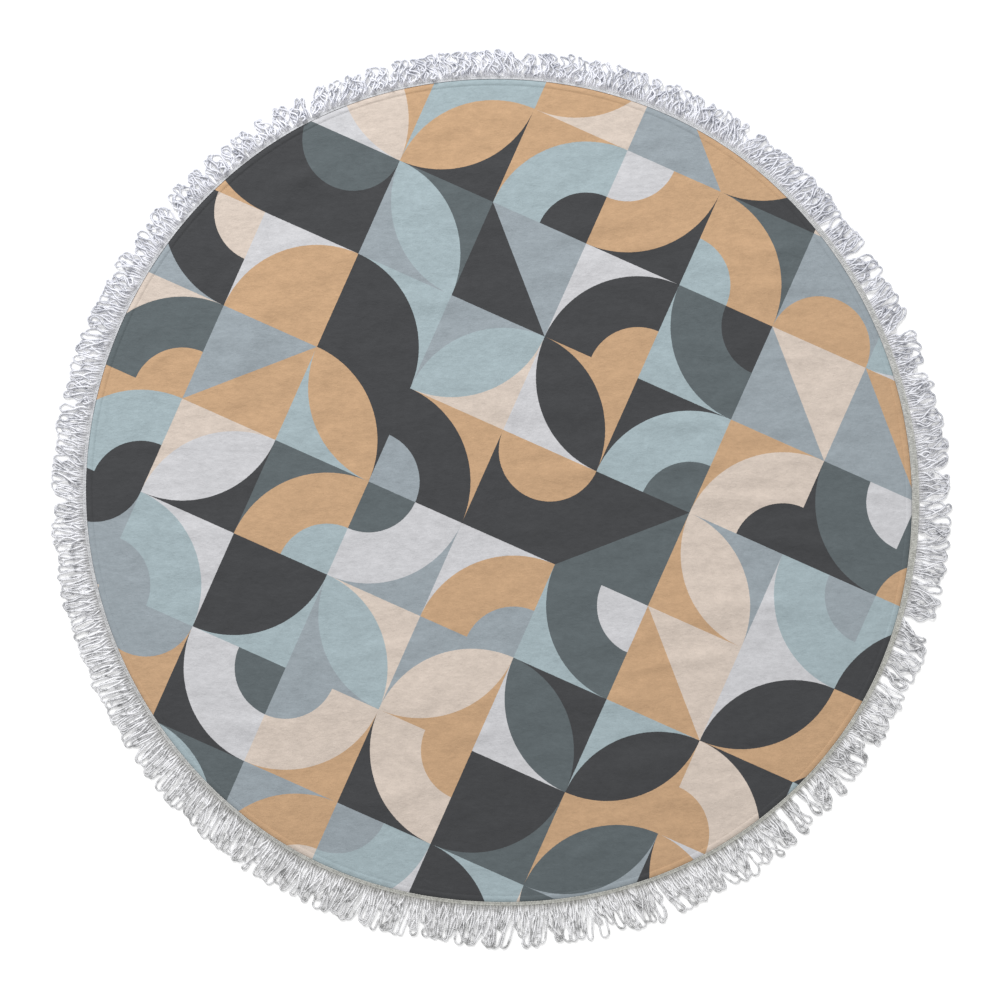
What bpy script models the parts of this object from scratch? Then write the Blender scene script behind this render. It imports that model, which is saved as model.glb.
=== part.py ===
"""A round beach towel with a looped fringe, laid out flat with its printed side up.

The cloth is one sheet with a narrow turned hem. A braid runs round it just outside the hem, and
the fringe's loops reach outward from the braid in bunches that lie level on the floor.
Metres, +Z up, the floor at z = 0 and the origin at the centre of the towel's box.
"""

import math
import random
from collections import namedtuple

import bmesh
import bpy
from mathutils import Matrix, Vector

# Driving sizes.
TIP_CIRCLE_RADIUS = 0.762  # the circle that the loops' tips reach
CLOTH_RADIUS = 0.6965  # of the turned profile, before the table below shapes its outline
CLOTH_CENTRE = Vector((0.0034, 0.0143, 0.0))  # from the centre of the tips' circle
SHEET_THICKNESS = 0.0022
HEM_WIDTH = 0.0105
HEM_THICKNESS = 0.0034
STITCH_SINK = 0.0007  # how far the row of hem stitches draws the sheet down
BRAID_THICKNESS = 0.0026
SEWN_GAP = 0.0003  # between the hem's edge and the braid
FLAT_RIM = 0.07  # the width inside the edge over which the cloth's swells die away

# How finely the shapes are divided.
CLOTH_STEPS = 96
CLOTH_RINGS = 12
BUNCHES = 252
SEED = 11

# A row for each bearing, anticlockwise from +X: the cloth's radius to the edge of its hem, the
# braid's width, and how tangled the loops are, from 0 to 1.
Bearing = namedtuple("Bearing", "degrees radius braid tangle")
BEARINGS = (
    Bearing(0, 0.6915, 0.0120, 0.5),
    Bearing(30, 0.6885, 0.0090, 0.6),
    Bearing(60, 0.6935, 0.0060, 0.8),
    Bearing(90, 0.6960, 0.0045, 1.0),
    Bearing(120, 0.7035, 0.0045, 0.9),
    Bearing(150, 0.7020, 0.0045, 0.5),
    Bearing(180, 0.7020, 0.0045, 0.3),
    Bearing(210, 0.6995, 0.0045, 0.2),
    Bearing(240, 0.6990, 0.0050, 0.1),
    Bearing(270, 0.6930, 0.0050, 0.3),
    Bearing(300, 0.7015, 0.0050, 0.5),
    Bearing(330, 0.7040, 0.0065, 0.8),
)

# The broad swells where the cloth lies clear of the floor: the middle of each from the cloth's
# centre, the heading of its crest, half its length, half its width, and its height.
Swell = namedtuple("Swell", "x y heading length width height")
SWELLS = (
    Swell(-0.105, -0.345, -3, 0.300, 0.070, 0.0045),
    Swell(-0.250, -0.525, 18, 0.130, 0.050, 0.0032),
    Swell(0.235, -0.485, 6, 0.120, 0.050, 0.0034),
    Swell(0.400, -0.190, 5, 0.130, 0.048, 0.0036),
    Swell(0.330, 0.055, -3, 0.150, 0.050, 0.0036),
    Swell(0.100, 0.175, 6, 0.170, 0.050, 0.0034),
    Swell(0.430, 0.380, 10, 0.110, 0.050, 0.0036),
    Swell(-0.080, 0.500, 12, 0.150, 0.060, 0.0036),
    Swell(-0.400, 0.300, 55, 0.130, 0.055, 0.0034),
    Swell(-0.470, -0.090, 20, 0.110, 0.055, 0.0030),
)
SWELL_START = 0.0006  # a swell lower than this lies flat

# The slow waves in which the loops lean, one after another round the towel: how many leans in a
# turn, how far the tips go sideways, and where the first begins.
Wave = namedtuple("Wave", "count lean phase")
WAVES = (Wave(5, 0.0060, 0.8), Wave(11, 0.0050, 2.1), Wave(23, 0.0022, 4.0))

# The places where the fringe parts: the bearing, and how far the tips on each side draw back.
Parting = namedtuple("Parting", "degrees spread")
PARTINGS = (
    Parting(40, 0.0050),
    Parting(141, 0.0055),
    Parting(236, 0.0045),
    Parting(271, 0.0050),
    Parting(321, 0.0060),
    Parting(354, 0.0045),
)
PARTING_REACH = 0.15  # in radians round the towel

# A bunch of loops: its width at the root as a share of its pitch, and its sections outward,
# with their share of the reach, of the width at the root, and their height.
ROOT_SHARE = 0.82
BUNCH_JITTER = 0.0012
SHORTEST_BUNCH = 0.90  # as a share of the way to the tips' circle
LOWEST_BUNCH = 0.84  # as a share of the sections' heights
Section = namedtuple("Section", "share width height")
BUNCH_SECTIONS = (
    Section(0.32, 0.96, 0.0064),
    Section(0.84, 0.93, 0.0060),
    Section(1.00, 0.48, 0.0036),
)


def around(column, angle):
    """A column of BEARINGS at an angle in radians, on a smooth closed curve through its rows."""
    rows = len(BEARINGS)
    place = angle / math.tau % 1 * rows
    share = place % 1
    first = int(place)
    a, b, c, d = (getattr(BEARINGS[(first + step) % rows], column) for step in (-1, 0, 1, 2))
    linear = (c - a) * share
    square = (2 * a - 5 * b + 4 * c - d) * share**2
    cube = (3 * b - a - 3 * c + d) * share**3
    return b + (linear + square + cube) / 2


def soft_step(value):
    """0 below 0 and 1 above 1, with a smooth rise between."""
    held = min(max(value, 0.0), 1.0)
    return held * held * (3 - 2 * held)


def tip_radius(angle):
    """How far the tips' circle is from the cloth's centre."""
    outward = CLOTH_CENTRE.x * math.cos(angle) + CLOTH_CENTRE.y * math.sin(angle)
    return math.sqrt(outward**2 + TIP_CIRCLE_RADIUS**2 - CLOTH_CENTRE.length_squared) - outward


def swell_height(x, y):
    """How far the cloth lies clear of the floor, x and y from its centre."""
    height = -SWELL_START
    for swell in SWELLS:
        turn = math.radians(swell.heading)
        along = (x - swell.x) * math.cos(turn) + (y - swell.y) * math.sin(turn)
        across = (y - swell.y) * math.cos(turn) - (x - swell.x) * math.sin(turn)
        height += swell.height * math.exp(-((along / swell.length) ** 2) - (across / swell.width) ** 2)
    inside = around("radius", math.atan2(y, x)) - math.hypot(x, y)
    return max(height, 0.0) * soft_step(inside / FLAT_RIM)


def sway(angle):
    """How far sideways the tips lean at a bearing, anticlockwise positive."""
    lean = sum(wave.lean * math.sin(wave.count * angle + wave.phase) for wave in WAVES)
    for parting in PARTINGS:
        away = math.remainder(angle - math.radians(parting.degrees), math.tau) / PARTING_REACH
        lean += parting.spread * math.copysign(math.exp(-abs(away)), away)
    return lean


def finish_material(name, colour, roughness):
    """A Principled material in one colour."""
    material = bpy.data.materials.new(name)
    material.use_nodes = True
    shader = material.node_tree.nodes["Principled BSDF"]
    shader.inputs["Base Color"].default_value = (*colour, 1.0)
    shader.inputs["Roughness"].default_value = roughness
    shader.inputs["Metallic"].default_value = 0.0
    return material


def add_part(name, mesh, material, collection):
    """An object for a finished mesh, shaded smooth but for its sharp edges."""
    mesh.materials.append(material)
    mesh.shade_smooth()
    mesh.set_sharp_from_angle(angle=math.radians(40))
    part = bpy.data.objects.new(name, mesh)
    collection.objects.link(part)
    return part


def spun(outline, steps, closed):
    """A bmesh turned about Z from (radius, z) points; a closed outline joins its last to its first."""
    bm = bmesh.new()
    points = [bm.verts.new((radius, 0.0, z)) for radius, z in outline]
    edges = [bm.edges.new(pair) for pair in zip(points, points[1:])]
    if closed:
        edges.append(bm.edges.new((points[-1], points[0])))
    bmesh.ops.spin(
        bm, geom=points + edges, cent=(0, 0, 0), axis=(0, 0, 1), angle=math.tau, steps=steps, use_merge=True
    )
    bmesh.ops.remove_doubles(bm, verts=bm.verts, dist=1e-6)
    bmesh.ops.recalc_face_normals(bm, faces=bm.faces)
    return bm


def cloth_outline():
    """The sheet's section from the middle of its top, round the hem, to the middle of its back."""
    seam = CLOTH_RADIUS - HEM_WIDTH
    rings = [seam * (ring / (CLOTH_RINGS + 0.4)) for ring in range(CLOTH_RINGS + 1)]
    top = [(radius, SHEET_THICKNESS) for radius in rings]
    hem = [
        (seam, SHEET_THICKNESS - STITCH_SINK),
        (seam + 0.3 * HEM_WIDTH, HEM_THICKNESS),
        (seam + 0.8 * HEM_WIDTH, HEM_THICKNESS),
        (CLOTH_RADIUS, 0.65 * HEM_THICKNESS),
        (CLOTH_RADIUS, 0.2 * HEM_THICKNESS),
        (seam + 0.9 * HEM_WIDTH, 0.0),
    ]
    back = [(radius, 0.0) for radius in reversed(rings)]
    return top + hem + back


def make_cloth():
    """The printed sheet with its turned hem."""
    bm = spun(cloth_outline(), CLOTH_STEPS, closed=False)
    for vert in bm.verts:
        stretch = around("radius", math.atan2(vert.co.y, vert.co.x)) / CLOTH_RADIUS
        vert.co.x *= stretch
        vert.co.y *= stretch
        vert.co.z += swell_height(vert.co.x, vert.co.y)
    return mesh_of(bm, "towel_cloth")


def mesh_of(bm, name):
    """The mesh of a bmesh, moved to the cloth's place on the floor."""
    bmesh.ops.translate(bm, verts=bm.verts, vec=CLOTH_CENTRE)
    mesh = bpy.data.meshes.new(name)
    bm.to_mesh(mesh)
    bm.free()
    return mesh


def make_braid():
    """The flat braid as a ring of square section, and its outer wall's faces where bunches root."""
    inner, outer = CLOTH_RADIUS, CLOTH_RADIUS + HEM_WIDTH
    section = [(inner, 0.0), (outer, 0.0), (outer, BRAID_THICKNESS), (inner, BRAID_THICKNESS)]
    bm = spun(section, 2 * BUNCHES, closed=True)
    step = math.tau / (2 * BUNCHES)
    roots = {}
    for face in bm.faces:
        middle = face.calc_center_median()
        index = int(math.atan2(middle.y, middle.x) % math.tau / step)
        if face.normal.xy.dot(middle.xy) > 0.5 * outer and index % 2 == 0:
            roots[index // 2] = face
    for vert in bm.verts:
        angle = math.atan2(vert.co.y, vert.co.x) % math.tau
        index = round(angle / step) % (2 * BUNCHES)
        angle = (index // 2 + ROOT_SHARE * (index % 2)) * 2 * step
        is_outer = vert.co.xy.length > (inner + outer) / 2
        radius = around("radius", angle) + SEWN_GAP + is_outer * around("braid", angle)
        vert.co.x = radius * math.cos(angle)
        vert.co.y = radius * math.sin(angle)
    return bm, [roots[index] for index in sorted(roots)]


def grow_bunch(bm, root, draws):
    """Extrudes one bunch of loops outward from its root face, level on the floor."""
    middle = root.calc_center_median()
    angle = math.atan2(middle.y, middle.x)
    outward = Vector((math.cos(angle), math.sin(angle), 0.0))
    sideways = Vector((-outward.y, outward.x, 0.0))
    start = middle.xy.length
    reach = (tip_radius(angle) - start) * (1 - (1 - SHORTEST_BUNCH) * draws.random() ** 2)
    root_width = max((a.co - b.co).xy.length for a in root.verts for b in root.verts)
    tip_lean = sway(angle) + draws.uniform(-BUNCH_JITTER, BUNCH_JITTER)
    kink = around("tangle", angle) * draws.uniform(-BUNCH_JITTER, BUNCH_JITTER)
    fullness = draws.uniform(LOWEST_BUNCH, 1.0)
    face = root
    for section in BUNCH_SECTIONS:
        face = bmesh.ops.extrude_discrete_faces(bm, faces=[face])["faces"][0]
        lean = tip_lean * section.share**1.5 + kink * (1 - section.share)
        centre = outward * (start + reach * section.share) + sideways * lean
        for vert in face.verts:
            side = math.copysign(root_width * section.width / 2, (vert.co - middle).dot(sideways))
            is_top = vert.co.z > BRAID_THICKNESS / 2
            place = centre + sideways * side
            vert.co = (place.x, place.y, is_top * fullness * section.height)
        middle = centre


def make_fringe():
    """The braid with its bunches of loops, one body."""
    bm, roots = make_braid()
    draws = random.Random(SEED)
    for root in roots:
        grow_bunch(bm, root, draws)
    return mesh_of(bm, "loop_fringe")


def centre_on_floor(parts):
    """Moves the finished meshes so that the middle of the box round all of them is over the origin."""
    places = [vert.co for part in parts for vert in part.data.vertices]
    lowest = Vector(min(place[axis] for place in places) for axis in range(3))
    highest = Vector(max(place[axis] for place in places) for axis in range(3))
    middle = (lowest + highest) / 2
    shift = Matrix.Translation((-middle.x, -middle.y, -lowest.z))
    for part in parts:
        part.data.transform(shift)


def main():
    for old in list(bpy.data.objects):
        bpy.data.objects.remove(old)
    collection = bpy.data.collections.new("round_beach_towel")
    bpy.context.scene.collection.children.link(collection)
    velour = finish_material("printed_velour", (0.36, 0.42, 0.44), 0.9)
    yarn = finish_material("white_cotton_yarn", (0.82, 0.82, 0.84), 0.85)
    cloth = add_part("towel_cloth", make_cloth(), velour, collection)
    fringe = add_part("loop_fringe", make_fringe(), yarn, collection)
    centre_on_floor([cloth, fringe])


main()
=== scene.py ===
"""Looks of a round beach towel with a looped fringe, laid out flat and seen from straight above.

The cloth is one sheet of brushed velour towelling with a printed pattern of plain tiles on its
face and white terry on its back. Its hem is turned and stitched. A narrow braid runs round it, and
the fringe's loops of twisted white yarn reach outward from the braid. Metres, +Z up.
"""

from __future__ import annotations

import logging
import math
import random
from dataclasses import dataclass
from enum import Enum
from typing import Any, Callable, Iterable, Mapping, Optional, Sequence, TypeVar, Union

import bmesh
import bpy
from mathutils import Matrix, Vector, noise


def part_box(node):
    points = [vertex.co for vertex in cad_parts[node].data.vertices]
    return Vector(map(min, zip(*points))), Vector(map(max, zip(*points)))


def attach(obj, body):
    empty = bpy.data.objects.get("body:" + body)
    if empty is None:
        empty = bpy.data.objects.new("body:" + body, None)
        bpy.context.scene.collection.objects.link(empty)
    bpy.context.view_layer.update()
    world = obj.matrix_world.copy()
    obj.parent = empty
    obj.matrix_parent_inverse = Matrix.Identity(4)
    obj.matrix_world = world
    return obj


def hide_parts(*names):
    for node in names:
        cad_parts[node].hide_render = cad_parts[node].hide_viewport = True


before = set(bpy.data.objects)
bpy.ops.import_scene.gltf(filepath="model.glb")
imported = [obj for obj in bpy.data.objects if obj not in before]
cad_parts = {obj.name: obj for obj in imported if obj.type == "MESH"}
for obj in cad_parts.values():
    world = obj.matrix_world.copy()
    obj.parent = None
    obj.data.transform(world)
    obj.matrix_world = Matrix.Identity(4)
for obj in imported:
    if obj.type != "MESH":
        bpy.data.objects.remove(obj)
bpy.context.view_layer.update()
LOG = logging.getLogger("beach_towel")
BODY = "root"
WHITE = (1.0, 1.0, 1.0, 1.0)

Socket = bpy.types.NodeSocket
Material = bpy.types.Material


# ---------------------------------------------------------------- node graphs


def sums(operation: str, is_turned: bool = False) -> Callable[..., Value]:
    """Makes a method of Value that adds one Math node.

    Args:
        operation: The node's operation.
        is_turned: Whether the value itself comes last.

    Returns:
        The method.
    """

    def method(value: Value, *others: Number) -> Value:
        """The operation's result for a value and the others."""
        numbers = (*others, value) if is_turned else (value, *others)
        return value.graph.math(operation, *numbers)

    return method


@dataclass(frozen=True)
class Value:
    """A number's socket in a node graph: Python's operators on it add Math nodes."""

    graph: Graph
    socket: Socket

    __add__ = __radd__ = sums("ADD")
    __sub__ = sums("SUBTRACT")
    __rsub__ = sums("SUBTRACT", is_turned=True)
    __mul__ = __rmul__ = sums("MULTIPLY")
    __truediv__ = sums("DIVIDE")
    __pow__ = sums("POWER")
    __mod__ = sums("FLOORED_MODULO")
    __abs__ = sums("ABSOLUTE")
    __lt__ = sums("LESS_THAN")
    __gt__ = sums("GREATER_THAN")
    floor = sums("FLOOR")
    root = sums("SQRT")
    sine = sums("SINE")
    cosine = sums("COSINE")
    at_least = sums("MAXIMUM")
    at_most = sums("MINIMUM")

    def held(self) -> Value:
        """The value itself from 0 to 1, and the nearer of the two outside them."""
        return self.at_least(0.0).at_most(1.0)

    def eased(self) -> Value:
        """0 below 0 and 1 above 1, with a smooth rise between."""
        held = self.held()
        return held * held * (3.0 - 2.0 * held)


@dataclass(frozen=True)
class Grain:
    """A kind of smooth noise: its lumps to the metre, its finer layers, and how strong those are."""

    scale: float
    detail: float = 2.0
    rough: float = 0.5


Colour = tuple[float, float, float, float]
Stop = tuple[float, Colour]
Number = Union[Value, float, int]
Given = Union[Value, Socket, bpy.types.ID, float, int, bool, str, Sequence[float]]
Slope = tuple[float, float]
Amount = TypeVar("Amount", float, Value)


def sloped(slope: Slope, amount: Amount) -> Amount:
    """A slope's number for an amount: its first number at 0, and its second more at 1."""
    return slope[0] + slope[1] * amount


class Graph:
    """A node tree under construction, for a material or for a geometry modifier."""

    def __init__(self, tree: bpy.types.NodeTree) -> None:
        """Starts on a tree.

        Args:
            tree: The node tree that gets the nodes.
        """
        self.tree = tree

    def add(
        self,
        kind: str,
        settings: Optional[Mapping[str, Any]] = None,
        inputs: Optional[Mapping[Union[str, int], Given]] = None,
    ) -> bpy.types.Node:
        """Adds one node.

        Args:
            kind: The node's type.
            settings: Its settings, set first; "stops" are a ramp's positions and colours, and
                "interpolation" is the ramp's too.
            inputs: What its sockets get, a value or a link each, by name or place.

        Returns:
            The new node.
        """
        node = self.tree.nodes.new(kind)
        for name, setting in (settings or {}).items():
            if name == "stops":
                self._place_stops(node.color_ramp, setting)
            else:
                setattr(node.color_ramp if name == "interpolation" else node, name, setting)
        for key, given in (inputs or {}).items():
            self.feed(node.inputs[key], given)
        return node

    def _place_stops(self, ramp: bpy.types.ColorRamp, stops: Sequence[Stop]) -> None:
        """Gives a ramp its stops.

        Args:
            ramp: The ramp of a Color Ramp node.
            stops: Pairs of a position and a colour, in order.
        """
        while len(ramp.elements) < len(stops):
            ramp.elements.new(0.5)
        for element, (position, colour) in zip(ramp.elements, stops):
            element.position = position
            element.color = colour

    def feed(self, socket: Socket, given: Given) -> None:
        """Links a socket, or sets it.

        Args:
            socket: The input socket.
            given: Another node's output, or a plain value.
        """
        source = given.socket if isinstance(given, Value) else given
        if isinstance(source, Socket):
            self.tree.links.new(source, socket)
        else:
            socket.default_value = source

    def math(self, operation: str, *numbers: Number) -> Value:
        """Adds a Math node.

        Args:
            operation: The node's operation.
            *numbers: Its values.

        Returns:
            The result.
        """
        node = self.add("ShaderNodeMath", {"operation": operation}, dict(enumerate(numbers)))
        return Value(self, node.outputs[0])

    def value(self, node: bpy.types.Node, output: Union[str, int] = 0) -> Value:
        """One output of a node, ready for sums."""
        return Value(self, node.outputs[output])

    def axes(self, place: Given) -> tuple[Value, Value, Value]:
        """The three parts of a vector."""
        parts = self.add("ShaderNodeSeparateXYZ", inputs={0: place})
        return self.value(parts, 0), self.value(parts, 1), self.value(parts, 2)

    def noise(self, place: Given, grain: Grain) -> Value:
        """Smooth noise of a kind, from 0 to 1, at a place in metres."""
        inputs = {"Vector": place, "Scale": grain.scale, "Detail": grain.detail, "Roughness": grain.rough}
        return self.value(self.add("ShaderNodeTexNoise", inputs=inputs))

    def tinted(self, colour: Given, other: Given, factor: Given, blend: str = "MIX") -> Socket:
        """Two colours mixed.

        Args:
            colour: The first colour.
            other: The second colour.
            factor: How much of the second there is.
            blend: The kind of mixing.

        Returns:
            The mixed colour.
        """
        settings = {"data_type": "RGBA", "blend_type": blend}
        return self.add("ShaderNodeMix", settings, {0: factor, 6: colour, 7: other}).outputs[2]

    def graded(self, codes: tuple[str, str], factor: Given) -> Socket:
        """A colour between two that are given by their screen codes."""
        return self.tinted(shade(codes[0]), shade(codes[1]), factor)

    def dimmed(self, colour: Given, light: Given) -> Socket:
        """A colour under a light of a given strength."""
        return self.tinted(colour, self.combined(light, light, light), 1.0, "MULTIPLY")

    def combed(self, place: Given, pace: float) -> Socket:
        """A place with its Y at another pace, so that noise there lies in streaks."""
        inputs = {"Vector": place, "Scale": (1.0, pace, 1.0)}
        return self.add("ShaderNodeMapping", inputs=inputs).outputs[0]

    def strayed(self, place: Given, scale: float, reach: float) -> Socket:
        """A place moved to and fro by smooth noise.

        Args:
            place: The coordinates, in metres.
            scale: How many swings there are to the metre.
            reach: The swings' full width, in metres.

        Returns:
            The moved place.
        """
        swing = self.add("ShaderNodeTexNoise", inputs={"Vector": place, "Scale": scale, "Detail": 1.0})
        inputs = {0: swing.outputs["Color"], 1: (reach, reach, reach), 2: place}
        return self.add("ShaderNodeVectorMath", {"operation": "MULTIPLY_ADD"}, inputs).outputs[0]

    def combined(self, x: Given, y: Given, z: Given) -> Socket:
        """A vector made of three numbers."""
        return self.add("ShaderNodeCombineXYZ", inputs={0: x, 1: y, 2: z}).outputs[0]


def shade(code: str) -> Colour:
    """A colour as light, from its screen code.

    Args:
        code: Six hexadecimal digits.

    Returns:
        Red, green, blue and a full alpha, as linear light.
    """
    levels = [int(code[place : place + 2], 16) / 255 for place in (0, 2, 4)]
    linear = [((level + 0.055) / 1.055) ** 2.4 if level > 0.04045 else level / 12.92 for level in levels]
    return (linear[0], linear[1], linear[2], 1.0)


# ---------------------------------------------------------------- finishes


class Finish:
    """What every finish shares: a material with one Principled shader.

    Beside its name and its sheen it holds its least and greatest roughness, and how deep and how
    strong its fine relief is.
    """

    name: str
    roughness: tuple[float, float]
    sheen: float
    relief: float
    relief_strength: float

    def start(self) -> tuple[Material, Graph, Socket]:
        """A new material in this finish's name.

        Returns:
            The material, with its even sheen and its middle roughness set, its graph, and the
            place on the piece.
        """
        material = bpy.data.materials.new(self.name)
        material.use_nodes = True
        graph = Graph(material.node_tree)
        even = {
            "Roughness": sum(self.roughness) / 2,
            "Sheen Weight": self.sheen,
            "Sheen Roughness": 0.5,
            "Specular IOR Level": 0.2,
        }
        for name, number in even.items():
            self.shader(graph).inputs[name].default_value = number
        return material, graph, graph.add("ShaderNodeTexCoord").outputs["Object"]

    @staticmethod
    def shader(graph: Graph) -> bpy.types.Node:
        """The Principled shader of a material's graph."""
        return graph.tree.nodes["Principled BSDF"]

    def vary(self, graph: Graph, colour: Given, matt: Value, height: Value) -> None:
        """Feeds the shader what varies over the piece.

        Args:
            graph: The material's graph.
            colour: The colour.
            matt: Where the roughness is between its least and its greatest, from 0 to 1.
            height: The height of the fine relief, from 0 to 1.
        """
        least, greatest = self.roughness
        roughness = sloped((least, greatest - least), matt)
        inputs = {"Strength": self.relief_strength, "Distance": self.relief, "Height": height}
        bump = graph.add("ShaderNodeBump", inputs=inputs).outputs[0]
        for name, given in (("Base Color", colour), ("Roughness", roughness), ("Normal", bump)):
            graph.feed(self.shader(graph).inputs[name], given)


class Ink(Enum):
    """The print's seven inks."""

    CHARCOAL = "3F4042"
    CREAM = "C6B9AE"
    SLATE = "586063"
    TAN = "B89776"
    STEEL = "8E979D"
    PALE = "BEBEC1"
    AQUA = "98A7AC"


@dataclass(frozen=True)
class TilePrint:
    """A plain tile pattern: leaves, quarter rounds, half rounds and corners, each tile turned its own way."""

    tile: float = 0.172
    turn_degrees: float = 24.0
    offset: tuple[float, float] = (0.043, 0.061)
    bleed: float = 0.0009
    bleed_scale: float = 420.0
    leaf_share: float = 0.40
    rounds_share: float = 0.72
    half_share: float = 0.88
    inner_round: float = 0.5
    order: tuple[Ink, ...] = (
        Ink.CHARCOAL, Ink.CREAM, Ink.SLATE, Ink.TAN, Ink.STEEL, Ink.CHARCOAL, Ink.PALE, Ink.TAN, Ink.AQUA
    )

    def colour(self, graph: Graph, place: Given) -> Socket:
        """The printed colour at a place on the cloth.

        A tile's ground steps two inks on from column to column and three from row to row. Its
        motif, its turn and its other two inks are drawn by chance.

        Args:
            graph: The material's graph.
            place: The place, in metres.

        Returns:
            The ink's colour.
        """
        column, row, across, up = self._tile_place(graph, place)
        cell = graph.combined(column, row, 0.0)
        chance = graph.add("ShaderNodeTexWhiteNoise", {"noise_dimensions": "2D"}, {0: cell})
        parts = graph.add("ShaderNodeSeparateColor", inputs={0: chance.outputs["Color"]})
        red, green, blue = (graph.value(parts, channel) for channel in range(3))
        pick = graph.value(chance, "Value")
        across = across + (red > 0.5) * (1.0 - 2.0 * across)
        up = up + (green > 0.5) * (1.0 - 2.0 * up)
        inks = len(self.order)
        ground = (2.0 * column + 3.0 * row) % inks
        second = (ground + 1.0 + (blue * 2.999).floor()) % inks
        third = (ground + 6.0 + (red * 19.99).floor() % 2.0) % inks
        near = (across * across + up * up).root()
        far = ((1.0 - across) * (1.0 - across) + (1.0 - up) * (1.0 - up)).root()
        side = ((across - 0.5) * (across - 0.5) + up * up).root()
        halves = self._chosen(across + up < 1.0, ground, second)
        leaf = self._chosen((near < 1.0) * (far < 1.0), halves, third)
        rounds = self._chosen(near < self.inner_round, self._chosen(near < 1.0, ground, second), third)
        half = self._chosen(side < 0.5, ground, second)
        corner = self._chosen(up < across, ground, second)
        number = self._chosen(pick > self.half_share, half, corner)
        number = self._chosen(pick < self.rounds_share, number, rounds)
        number = self._chosen(pick < self.leaf_share, number, leaf)
        stops = [(step / inks, shade(ink.value)) for step, ink in enumerate(self.order)]
        settings = {"interpolation": "CONSTANT", "stops": stops}
        return graph.add("ShaderNodeValToRGB", settings, {0: (number + 0.5) / inks}).outputs[0]

    def _tile_place(self, graph: Graph, place: Given) -> tuple[Value, Value, Value, Value]:
        """The tile that a place is in, and where in the tile it is.

        Args:
            graph: The material's graph.
            place: The place, in metres.

        Returns:
            The tile's column and row, and the shares of its width and height.
        """
        bled = graph.strayed(place, self.bleed_scale, self.bleed)
        turn = (0.0, 0.0, math.radians(self.turn_degrees))
        inputs = {0: bled, "Location": (*self.offset, 0.0), "Rotation": turn}
        x, y, _ = graph.axes(graph.add("ShaderNodeMapping", inputs=inputs).outputs[0])
        across, up = x / self.tile, y / self.tile
        column, row = across.floor(), up.floor()
        return column, row, across - column, up - row

    @staticmethod
    def _chosen(mask: Value, outside: Number, inside: Number) -> Value:
        """One number where a mask is 1, and another where it is 0."""
        return outside + mask * (inside - outside)


@dataclass(frozen=True)
class PrintedVelour(Finish):
    """The towel's face: short brushed pile, printed."""

    name: str = "printed_velour"
    roughness: tuple[float, float] = (0.86, 0.98)
    sheen: float = 0.08
    relief: float = 0.0032
    relief_strength: float = 0.6
    pattern: TilePrint = TilePrint()
    clouds: Grain = Grain(26.0, 3.0, 0.6)
    strokes: Grain = Grain(70.0, 4.0, 0.68)
    stroke_pace: float = 1.8
    nap: Grain = Grain(300.0, 3.0, 0.72)
    pile: Grain = Grain(2100.0, 2.0, 0.6)
    pile_pace: float = 0.4
    cloudiness: float = 0.10
    mottle_and_painted_shade: float = 0.38
    nap_contrast: float = 0.19
    pile_contrast: float = 0.22

    def material(self) -> Material:
        """The finished material.

        Returns:
            A print on pile, with the pile's grain, brushed streaks that are partly painted crumple shade, and
            a soft bump.
        """
        material, graph, place = self.start()
        clouds = graph.noise(place, self.clouds)
        brushed = graph.noise(graph.combed(place, self.stroke_pace), self.strokes)
        nap = graph.noise(place, self.nap)
        pile = graph.noise(graph.combed(place, self.pile_pace), self.pile)
        # The brushed streaks are partly painted shade of the cloth's small crumples; the clouds, nap and pile
        # are the pile's own tone.
        light = 1.0 + self.cloudiness * (clouds - 0.5) + self.mottle_and_painted_shade * (brushed - 0.5)
        light = light + self.nap_contrast * (nap - 0.5) + self.pile_contrast * (pile - 0.5)
        colour = graph.dimmed(self.pattern.colour(graph, place), light)
        self.vary(graph, colour, nap, 0.25 * nap + 0.65 * brushed + 0.10 * pile)
        return material


@dataclass(frozen=True)
class TerryBack(Finish):
    """The towel's back: white terry in short loops."""

    name: str = "terry_back"
    roughness: tuple[float, float] = (0.90, 0.98)
    sheen: float = 0.2
    relief: float = 0.0016
    relief_strength: float = 0.8
    # The terry's lit colour, and its colour in painted shade and in dim clouds.
    colours: tuple[str, str] = ("F3F2EE", "B9B8B6")
    loop_scale: float = 520.0
    loop_stray: tuple[float, float] = (600.0, 0.0018)
    clouds: Grain = Grain(18.0, 3.0, 0.6)
    fibres: Grain = Grain(2600.0, 2.0, 0.6)
    gap_start: float = 0.30
    gap_slope: float = 1.8
    gap_fray: float = 0.3
    gap_painted_shade: float = 0.60
    cloud_dim: float = 0.20

    def material(self) -> Material:
        """The finished material.

        Returns:
            White terry, darker between its loops as painted shade.
        """
        material, graph, place = self.start()
        inputs = {"Vector": graph.strayed(place, *self.loop_stray), "Scale": self.loop_scale}
        loops = graph.add("ShaderNodeTexVoronoi", {"voronoi_dimensions": "2D"}, inputs)
        clouds = graph.noise(place, self.clouds)
        fibres = graph.noise(place, self.fibres)
        away = graph.value(loops, "Distance") + self.gap_fray * (fibres - 0.5)
        gaps = (self.gap_slope * (away - self.gap_start)).eased()
        # Painted shade between the loops, and a random tone in soft clouds.
        dimmed = self.gap_painted_shade * gaps + self.cloud_dim * clouds
        colour = graph.graded(self.colours, dimmed.at_most(1.0))
        self.vary(graph, colour, clouds, 0.8 * (1.0 - gaps) + 0.2 * fibres)
        return material


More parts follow.
